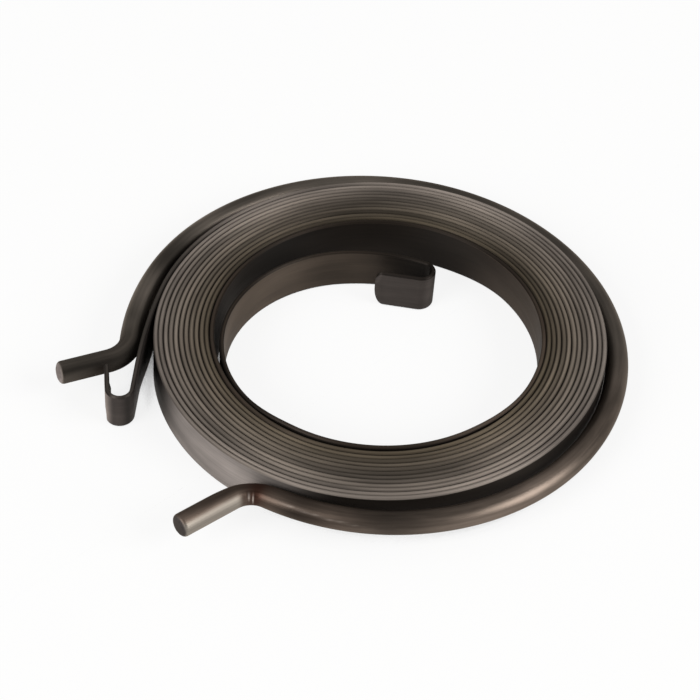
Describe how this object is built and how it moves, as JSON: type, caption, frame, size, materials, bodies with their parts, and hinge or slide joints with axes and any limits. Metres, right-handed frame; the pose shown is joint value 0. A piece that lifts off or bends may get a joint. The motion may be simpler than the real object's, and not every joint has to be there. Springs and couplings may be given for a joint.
{
  "type": "recoil starter spring",
  "caption": "Flat spring strip wound in a tight spiral, hooked at both ends, held coiled by a round-wire retaining clip whose ends splay outwards.",
  "frame": {"origin": "on the coil's axis, in the plane of its lower edge", "axes": "+Z along the coil's axis, up from the surface it lies on; +X to the right of the picture's view, away from the splayed ends of the clip"},
  "size_m": [0.074, 0.0689, 0.006],
  "materials": {
    "strip_steel": "oil-tempered, satin dark brown-grey",
    "wire_steel": "oil-tempered drawn wire, satin dark brown"
  },
  "bodies": {
    "root": {"spring_strip": "strip_steel", "retainer_wire": "wire_steel"}
  },
  "joints": []
}
